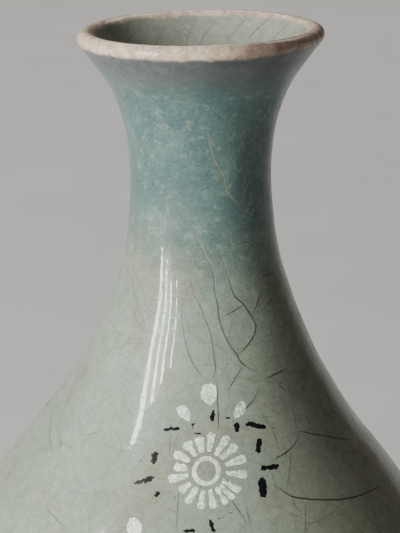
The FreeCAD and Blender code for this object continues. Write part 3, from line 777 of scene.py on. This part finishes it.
def ring_piece(name, side, r_out, r_in, r, mat, node, lift=0.022, depth=0.30):
    """Flower's eye: an uneven ring with a closed section."""
    n = 84
    a = np.linspace(0, 2 * math.pi, n, endpoint=False)

    def loop(rad, amp, ell):
        w = sum(amp / k * np.sin(k * a + r.uniform(0, 6.28)) for k in (2, 3, 5, 8, 13))
        rr = rad + w
        return np.stack([rr * np.cos(a) * ell[0], rr * np.sin(a) * ell[1]], 1)

    o, i = loop(r_out, 0.055, (0.975, 1.035)), loop(r_in, 0.060, (0.96, 1.05))
    mid_l = 0.5 * (o + i)
    rows = [drop(side, o, lift * 0.35), drop(side, 0.8 * o + 0.2 * mid_l, lift), drop(side, mid_l, lift),
            drop(side, 0.8 * i + 0.2 * mid_l, lift), drop(side, i, lift * 0.35), drop(side, i, -depth), drop(side, o, -depth)]
    verts = [q for row in rows for q in row]
    faces = []
    m = len(rows)
    for k in range(m):
        k2 = (k + 1) % m
        for j in range(n):
            j2 = (j + 1) % n
            faces.append((k * n + j, k * n + j2, k2 * n + j2, k2 * n + j))
    ob = make(name, verts, faces, mat=mat, replaces=[node])
    outward(ob)
    mark_sharp(ob, 40)
    return ob


# Petals of the front flower: direction in degrees and outer reach in millimetres.
PETALS = [(83.7, 6.37), (104.4, 5.77), (124.7, 6.00), (148.4, 6.08), (170.3, 5.37), (-168.7, 6.25), (-142.4, 5.43),
          (-120.4, 6.12), (-98.4, 6.28), (-78.4, 6.40), (-59.2, 6.49), (-46.0, 6.57), (-31.7, 6.53), (-5.4, 6.75),
          (18.4, 6.79), (40.9, 6.46), (59.7, 6.70)]
BUDS = [(0.32, 12.61, 1.50, 1.88, 4.0), (-3.85, 9.72, 0.92, 1.60, 36.0), (5.42, 10.05, 0.86, 1.62, -32.0),
        (-11.71, -8.88, 1.25, 1.75, 18.0)]
MARKS = [(0.89, 9.13, 0.82, 0.30, 84.0), (-1.59, 6.30, 0.66, 0.19, 0.0), (-2.34, 7.60, 0.50, 0.14, 80.0),
         (3.29, 8.75, 0.42, 0.17, 5.0), (4.90, 7.22, 0.83, 0.33, 84.0), (8.17, 7.65, 1.70, 0.38, -8.0),
         (8.70, 4.32, 1.25, 0.45, 84.0), (10.63, 0.73, 1.62, 0.36, 12.0), (9.29, -2.73, 1.62, 0.58, 98.0),
         (-5.79, 7.27, 1.40, 0.27, 0.0), (-8.54, 2.55, 1.05, 0.40, 78.0), (-10.09, -1.06, 1.70, 0.31, 13.0),
         (-8.03, -3.60, 0.52, 0.32, 60.0), (0.79, -9.10, 1.15, 0.27, 110.0), (-2.86, -9.80, 0.96, 0.22, -2.0)]


def petal(r, ang, reach, size, room):
    """Wedge of slip: narrow by the eye, broad and blunt outside. room is the angle to the nearer neighbour."""
    a = math.radians(ang)
    start = 3.10 + r.uniform(-0.10, 0.12)
    tip = reach + 0.02
    wn = r.uniform(0.27, 0.37)
    ww = min(0.5 * math.radians(room) * (reach - 0.4) - 0.13, r.uniform(0.68, 0.86))
    k1, k2 = r.uniform(0.60, 0.74), r.uniform(0.60, 0.74)
    s1, s2 = r.uniform(0.15, 0.50), r.uniform(0.15, 0.50)
    pts = [(start, -wn), (0.5 * (start + tip), -k1 * ww), (tip - s1 - 0.15, -ww), (tip - 0.08, -0.74 * ww),
           (tip, r.uniform(-0.25, 0.15) * ww), (tip - r.uniform(0.02, 0.16), 0.70 * ww), (tip - s2 - 0.12, ww * 0.98),
           (0.5 * (start + tip), k2 * ww), (start, wn)]
    return [(size * (x * math.cos(a) - y * math.sin(a)), size * (x * math.sin(a) + y * math.cos(a))) for x, y in pts]


def placed(pts, cu, cv, deg, size):
    c, s = math.cos(math.radians(deg)), math.sin(math.radians(deg))
    return [(size * (cu + x * c - y * s), size * (cv + x * s + y * c)) for x, y in pts]


def bud(r, cu, cv, hw, hh, lean, size):
    pts = [(0.0, -1.0), (0.60, -0.62), (1.0, -0.05), (0.86, 0.55), (0.42, 0.92), (-0.05, 1.0), (-0.5, 0.88), (-0.9, 0.5),
           (-0.97, -0.02), (-0.62, -0.55)]
    return placed([(x * hw, y * hh) for x, y in pts], cu, cv, lean, size)


def mark(r, cu, cv, hl, ht, deg, size):
    pts = [(-1.0, -0.35), (-0.72, -0.9), (-0.2, -0.8), (0.3, -1.05), (0.8, -0.85), (1.0, -0.2), (0.93, 0.5), (0.55, 1.0),
           (0.1, 0.8), (-0.4, 1.0), (-0.85, 0.75)]
    return placed([(x * hl * 1.04, y * ht * r.uniform(0.95, 1.45)) for x, y in pts], cu, cv, deg, size)


for k, side in enumerate(SIDES):
    r = random.Random(100 + k)
    size = SIDES[side][1]
    jitter = 0.0 if side == "front" else 1.0
    turn = 0.0 if side == "front" else r.uniform(-9, 9)
    ring_piece("inlay_%s_ring" % side, side, 2.40 * size, 1.66 * size, r, M_white, "spray_%s_ring" % side)
    order = sorted(a for a, _ in PETALS)
    rooms = {a: min((a - order[i - 1]) % 360, (order[(i + 1) % len(order)] - a) % 360) for i, a in enumerate(order)}
    pets = [petal(r, a + turn + jitter * r.uniform(-1.2, 1.2), reach + jitter * r.uniform(-0.25, 0.2), size, rooms[a])
            for a, reach in PETALS]
    plates("inlay_%s_petals" % side, side, [patch(p, r, 0.075, per=0.22) for p in pets], M_white, "spray_%s_petals" % side)
    buds = [bud(r, cu + jitter * r.uniform(-.3, .3), cv + jitter * r.uniform(-.3, .3), hw, hh, lean + jitter * r.uniform(-6, 6), size)
            for cu, cv, hw, hh, lean in BUDS]
    plates("inlay_%s_buds" % side, side, [patch(p, r, 0.085, per=0.22) for p in buds], M_white, "spray_%s_buds" % side)
    marks = [mark(r, cu + jitter * r.uniform(-.3, .3), cv + jitter * r.uniform(-.25, .25), hl, ht, d + jitter * r.uniform(-7, 7), size)
             for cu, cv, hl, ht, d in MARKS]
    plates("inlay_%s_leaves" % side, side, [patch(p, r, 0.095, per=0.17) for p in marks], M_black, "spray_%s_leaves" % side,
           lift=0.026)

# =============================================================================
# Main crackle lines, as fine stained strips let into the glaze
# =============================================================================
FRONT = [[(-5.5, 119.8), (2.9, 115.7), (6.7, 113.4), (8.4, 109.8), (11.2, 105.2), (14.7, 102.0), (19.1, 99.8), (21.2, 98.3), (28.1, 96.6)],
         [(12.7, 116.5), (17.0, 113.2), (22.1, 109.0), (27.7, 107.4), (32.7, 105.0), (33.0, 102.8), (20.2, 99.7)],
         [(-38.2, 118.0), (-29.3, 114.9), (-20.2, 111.0), (-14.1, 107.4), (-10.5, 103.5), (-7.2, 100.1), (-3.1, 97.8), (1.6, 96.0)],
         [(-63.8, 111.2), (-51.2, 107.9), (-38.3, 104.3), (-32.3, 102.1)],
         [(-9.7, 113.3), (-5.8, 109.5), (0.2, 106.5), (4.3, 103.6), (6.4, 100.2), (6.6, 97.6), (5.0, 96.0)],
         [(2.8, 138.2), (6.1, 134.4), (10.0, 131.6), (16.5, 129.1), (19.2, 126.5), (26.1, 124.6), (31.4, 123.1)],
         [(46.6, 129.7), (35.8, 126.5), (32.4, 124.3)], [(63.1, 125.3), (35.8, 124.0)], [(12.0, 105.7), (24.7, 107.1), (27.8, 107.6)],
         [(22.5, 117.3), (48.4, 117.7)], [(19.3, 119.7), (23.7, 116.2)], [(40.4, 111.1), (61.9, 111.2)], [(33.2, 105.7), (44.4, 109.3)],
         [(20.9, 97.7), (12.5, 94.5)], [(32.4, 95.4), (49.3, 95.9)], [(28.7, 94.3), (25.0, 92.8), (18.4, 91.2), (15.8, 90.5)],
         [(42.1, 86.2), (37.9, 85.1), (31.3, 84.2), (26.8, 83.9)],
         [(25.7, 80.5), (30.7, 78.5), (36.5, 77.5), (43.1, 76.5), (52.7, 75.3), (61.6, 74.6), (68.2, 73.9)],
         [(42.6, 86.6), (53.4, 84.8), (69.6, 81.5)], [(7.2, 96.3), (7.3, 91.6), (7.4, 89.2)], [(25.5, 82.0), (26.0, 79.8)],
         [(29.9, 78.2), (30.7, 76.2)], [(15.1, 78.5), (15.2, 75.6)], [(10.1, 79.8), (13.4, 77.2), (14.2, 76.1)],
         [(-12.2, 88.7), (-10.5, 85.2)], [(-6.1, 81.0), (-5.7, 75.1)], [(-80.2, 84.6), (-59.3, 80.9)], [(-48.8, 85.2), (-39.6, 87.3)],
         [(-32.6, 86.9), (-29.3, 85.0)], [(-48.5, 74.4), (-42.9, 73.6), (-37.3, 73.0)]]
MOUTH = [[(-160.8, 150.2), (-151.3, 148.3), (-148.1, 147.6), (-140.1, 144.7)], [(-178.2, 150.6), (-172.6, 148.7), (-168.4, 145.9)],
         [(153.0, 150.9), (157.1, 148.9), (162.2, 146.9)], [(136.3, 151.8), (142.0, 149.6), (147.6, 147.2)],
         [(-132.2, 150.9), (-128.3, 148.4)], [(119.0, 151.1), (126.2, 148.7), (132.7, 146.3)],
         [(170.3, 150.8), (176.2, 148.4), (-178.1, 146.3)]]

arc_v = np.concatenate([[0], np.cumsum(np.hypot(*np.diff(fine[:crown_k], axis=0).T))])


def v_of(z):
    return np.interp(z, out_z, arc_v)


def z_of(v):
    return np.interp(v, arc_v, out_z)


taken = {}


def key3(p):
    return (int(p[0] // 1.5), int(p[1] // 1.5), int(p[2] // 1.5))


def settle(p, ident):
    taken.setdefault(key3(p), []).append((p, ident))


def nearest(p, skip):
    k = key3(p)
    best = 9.0
    for i in (-1, 0, 1):
        for j in (-1, 0, 1):
            for l in (-1, 0, 1):
                for q, ident in taken.get((k[0] + i, k[1] + j, k[2] + l), ()):
                    if ident not in skip:
                        d = math.dist(p, q)
                        if d < best:
                            best = d
    return best


def raw_point(a, v):
    z = float(z_of(v))
    r = float(np.interp(z, out_z, out_r))
    return (r * math.sin(a), -r * math.cos(a), z)


def resample(line, step=0.8, r=None):
    """Rounded line through points (angle in degrees, height), in even steps (angle rad, v)."""
    pts = [(math.radians(a), float(v_of(z))) for a, z in line]
    full = []
    for i in range(len(pts) - 1):
        p0, p1, p2, p3 = pts[max(i - 1, 0)], pts[i], pts[i + 1], pts[min(i + 2, len(pts) - 1)]
        rad = float(np.interp(z_of(p1[1]), out_z, out_r))
        n = max(2, int(math.hypot((p2[0] - p1[0]) * rad, p2[1] - p1[1]) / step))
        for k in range(n):
            t = k / n
            full.append(tuple(0.5 * ((2 * p1[c]) + (-p0[c] + p2[c]) * t + (2 * p0[c] - 5 * p1[c] + 4 * p2[c] - p3[c]) * t * t
                                     + (-p0[c] + 3 * p1[c] - 3 * p2[c] + p3[c]) * t ** 3) for c in (0, 1)))
    full.append(pts[-1])
    if r is None:
        return full
    sway, out = 0.0, []
    for a, v in full:
        sway = 0.75 * sway + r.gauss(0, 0.06)
        rad = float(np.interp(z_of(v), out_z, out_r))
        out.append((a + sway / rad, v + 0.5 * sway))
    return out


main_lines = []
crack_rng = random.Random(7)
for line in FRONT:
    main_lines.append((resample(line, 0.8, crack_rng), crack_rng.uniform(0.19, 0.29)))
for i, (line, w) in enumerate(main_lines):
    for a, v in line:
        settle(raw_point(a, v), i)

V_MIN, V_MAX = float(v_of(5.5)), float(v_of(149.5))


def grow(a, v, head, length, ident, skip, curl=0.05):
    """A crack that runs on from a point until it meets another."""
    line, step = [(a, v)], 0.85
    bend = 0.0
    for k in range(int(length / step)):
        bend = 0.85 * bend + crack_rng.gauss(0, curl)
        head += bend
        r = float(np.interp(z_of(v), out_z, out_r))
        a += step * math.cos(head) / r
        v += step * math.sin(head)
        if not V_MIN < v < V_MAX:
            break
        p = raw_point(a, v)
        line.append((a, v))
        if k > 2 and nearest(p, {ident} | (skip if k < 6 else set())) < 0.8:
            break
    return line


fine_lines = []
ident = len(main_lines)


def in_front(a, v):
    d = (math.degrees(a) + 180) % 360 - 180
    return abs(d) < 58 and z_of(v) > 74


# long lines that climb the pot, then cross lines between them
starts = []
for k in range(34):
    a = 2 * math.pi * (k + crack_rng.uniform(-0.35, 0.35)) / 34
    starts.append((a, crack_rng.uniform(V_MIN + 5, V_MAX - 30), math.pi / 2 + 0.40 + crack_rng.gauss(0, 0.30), crack_rng.uniform(40, 95)))
for a, v, head, length in starts:
    if in_front(a, v):
        continue
    for sign in (0, math.pi):
        line = grow(a, v, head + sign, length, ident, {ident})
        line = [q for q in line if not in_front(*q)] if not in_front(*line[0]) else []
        if len(line) > 5:
            fine_lines.append((line, crack_rng.uniform(0.08, 0.15)))
            for q in line:
                settle(raw_point(*q), ident)
    ident += 1
for k in range(430):
    pool = main_lines if crack_rng.random() < 0.10 else fine_lines
    line, w = pool[crack_rng.randrange(len(pool))]
    if len(line) < 8:
        continue
    j = crack_rng.randrange(2, len(line) - 2)
    a, v = line[j]
    b, u = line[j + 1]
    r = float(np.interp(z_of(v), out_z, out_r))
    head = math.atan2(u - v, (b - a) * r) + crack_rng.choice([-1, 1]) * crack_rng.uniform(0.8, 1.9)
    front = in_front(a, v)
    if front and crack_rng.random() < (0.35 if math.sin(a) > 0.1 else 0.75):
        continue
    new = grow(a, v, head, crack_rng.uniform(7, 26), ident, {-1}, 0.06)
    # too close beside an old line from the start
    if len(new) < 6:
        continue
    probe_p = raw_point(*new[min(5, len(new) - 1)])
    if nearest(probe_p, {ident}) < 1.9:
        continue
    width = crack_rng.uniform(0.045, 0.075) if front else crack_rng.uniform(0.05, 0.11)
    fine_lines.append((new, width))
    for q in new:
        settle(raw_point(*q), ident)
    ident += 1


def strips(name, lines, mat, lift=0.014, depth=0.10, inside=False, aside=0.0):
    verts, faces = [], []
    for line, width in lines:
        if len(line) < 3:
            continue
        av = np.array(line)
        z = z_of(av[:, 1]) if not inside else av[:, 1]
        rad = np.interp(z, in_z, in_r) if inside else np.interp(z, out_z, out_r)
        s = np.stack([av[:, 0] * rad.mean(), z if inside else av[:, 1]], 1)
        d = np.gradient(np.stack([av[:, 0], s[:, 1]], 1), axis=0)
        d[:, 0] *= rad
        d /= np.maximum(np.linalg.norm(d, axis=1, keepdims=True), 1e-9)
        n = len(av)
        taper = np.clip(np.minimum(np.arange(n), np.arange(n)[::-1]) / 3.0, 0.18, 1.0)
        rag = np.array([crack_rng.uniform(0.75, 1.2) for _ in range(n)])
        half = 0.5 * width * taper * rag
        side = np.where(d[:, 1] > 0, 1.0, -1.0) * aside
        ca, cv = av[:, 0] + d[:, 1] * side / rad, s[:, 1] - d[:, 0] * side
        la, lv = ca - d[:, 1] * half / rad, cv + d[:, 0] * half
        ra, rv = ca + d[:, 1] * half / rad, cv - d[:, 0] * half
        lz, rz = (lv, rv) if inside else (z_of(lv), z_of(rv))
        rows = [on_surface(la, lz, lift, inside), on_surface(ra, rz, lift, inside),
                on_surface(ra, rz, -depth, inside), on_surface(la, lz, -depth, inside)]
        b = len(verts)
        for i in range(n):
            verts += [rows[0][i], rows[1][i], rows[2][i], rows[3][i]]
        for i in range(n - 1):
            p, q = b + 4 * i, b + 4 * (i + 1)
            for k in range(4):
                k2 = (k + 1) % 4
                faces.append((p + k, p + k2, q + k2, q + k))
        e = b + 4 * (n - 1)
        faces.append((b + 3, b + 2, b + 1, b))
        faces.append((e, e + 1, e + 2, e + 3))
    ob = make(name, verts, faces, smooth=False, mat=mat)
    outward(ob)
    return ob


def part_lines(lines, z0, z1):
    """Stretches of the lines between two heights."""
    out = []
    for line, w in lines:
        cur = []
        for q in line:
            if z0 <= z_of(q[1]) < z1:
                cur.append(q)
            else:
                if len(cur) > 2:
                    out.append((cur, w))
                cur = []
        if len(cur) > 2:
            out.append((cur, w))
    return out


strips("crackle_front", main_lines, M_crack)
# painted highlight: a pale strip just beside each main crack
strips("crackle_front_painted_highlight", [(line, 0.55 * w) for line, w in main_lines], M_crack_highlight, lift=0.010, aside=0.20)
strips("crackle_neck", part_lines(fine_lines, 103.2, 149.5), M_crack_fine)
strips("crackle_shoulder", part_lines(fine_lines, 62, 103.2), M_crack_fine)
strips("crackle_belly", part_lines(fine_lines, 5, 62), M_crack_fine)
mouth = []
for line in MOUTH:
    a = np.unwrap(np.radians([q[0] for q in line]))
    z = np.array([q[1] for q in line])
    n = max(4, int(6 * len(line)))
    t = np.linspace(0, len(line) - 1, n)
    mouth.append(([(float(np.interp(q, range(len(a)), a)), float(np.interp(q, range(len(z)), z))) for q in t], 0.13))
strips("crackle_mouth", mouth, M_crack_fine, inside=True)

# =============================================================================
# Floor, light and camera
# =============================================================================
fm = Mat("floor_paper")
fn = fm.noise(0.02, 3.0, 0.5)
fm.out(fm.mix(fm.step(fn, 0.3, 0.7), (0.545, 0.535, 0.525), (0.575, 0.565, 0.555)), fm.step(fn, 0.3, 0.7, 0.85, 0.92),
       fm.bump(fm.noise(1.4, 2.0), 0.00004, 0.3))
me = bpy.data.meshes.new("floor")
me.from_pydata([(-6, -6, 0), (6, -6, 0), (6, 6, 0), (-6, 6, 0)], [], [(0, 1, 2, 3)])
me.materials.append(fm.mat)
floor = bpy.data.objects.new("floor", me)
bpy.context.scene.collection.objects.link(floor)

world = bpy.context.scene.world or bpy.data.worlds.new("World")
bpy.context.scene.world = world
world.use_nodes = True
bg = world.node_tree.nodes.get("Background") or world.node_tree.nodes.new("ShaderNodeBackground")
bg.inputs["Color"].default_value = (0.96, 0.98, 1.0, 1.0)
bg.inputs["Strength"].default_value = 0.016

AIM = Vector((0.0, 0.0, 0.10))


def area(name, azimuth, elevation, distance, width, height, power, color=(1, 1, 1), aim=AIM):
    """Soft light: azimuth from the front towards the right, elevation above the horizon, in degrees."""
    a, e = math.radians(azimuth), math.radians(elevation)
    d = Vector((math.sin(a) * math.cos(e), -math.cos(a) * math.cos(e), math.sin(e)))
    data = bpy.data.lights.new(name, "AREA")
    data.shape = "RECTANGLE"
    data.size, data.size_y = width, height
    data.energy = power
    data.color = color
    ob = bpy.data.objects.new(name, data)
    ob.location = aim + d * distance
    ob.rotation_mode = "QUATERNION"
    ob.rotation_quaternion = d.to_track_quat("Z", "Y")
    bpy.context.scene.collection.objects.link(ob)
    ob.visible_camera = False
    return ob


WINDOW = (0.95, 1.0, 0.98)
area("window_haze", -50.5, 17.0, 1.12, 0.26, 0.66, 3.6, WINDOW)
area("window_pane_a", -58.5, 17.0, 1.10, 0.074, 0.74, 12.6, WINDOW)
area("window_pane_b", -49.5, 17.5, 1.10, 0.040, 0.60, 6.6, WINDOW)
area("window_pane_c", -42.0, 18.0, 1.10, 0.032, 0.48, 4.8, WINDOW)
area("window_pane_d", -33.5, 16.5, 1.10, 0.022, 0.34, 2.2, WINDOW)
area("side_soft", -98.0, 30.0, 1.30, 0.80, 0.80, 2.0, (0.95, 1.0, 1.0))
area("back_soft", 180.0, 82.0, 1.25, 1.60, 0.70, 15.0, (1.0, 0.98, 0.95), Vector((0.0, 1.00, 0.0)))

cam_data = bpy.data.cameras.new("camera")
cam_data.sensor_width = 36.0
cam_data.lens = 1600.0 / 533.0 * 36.0
cam_data.clip_start, cam_data.clip_end = 0.01, 50.0
cam = bpy.data.objects.new("camera", cam_data)
cam.location = (-0.00017, -0.26754, 0.19357)
cam.rotation_euler = (math.radians(90.0 - 17.3469), 0.0, 0.0)
bpy.context.scene.collection.objects.link(cam)
bpy.context.scene.camera = cam
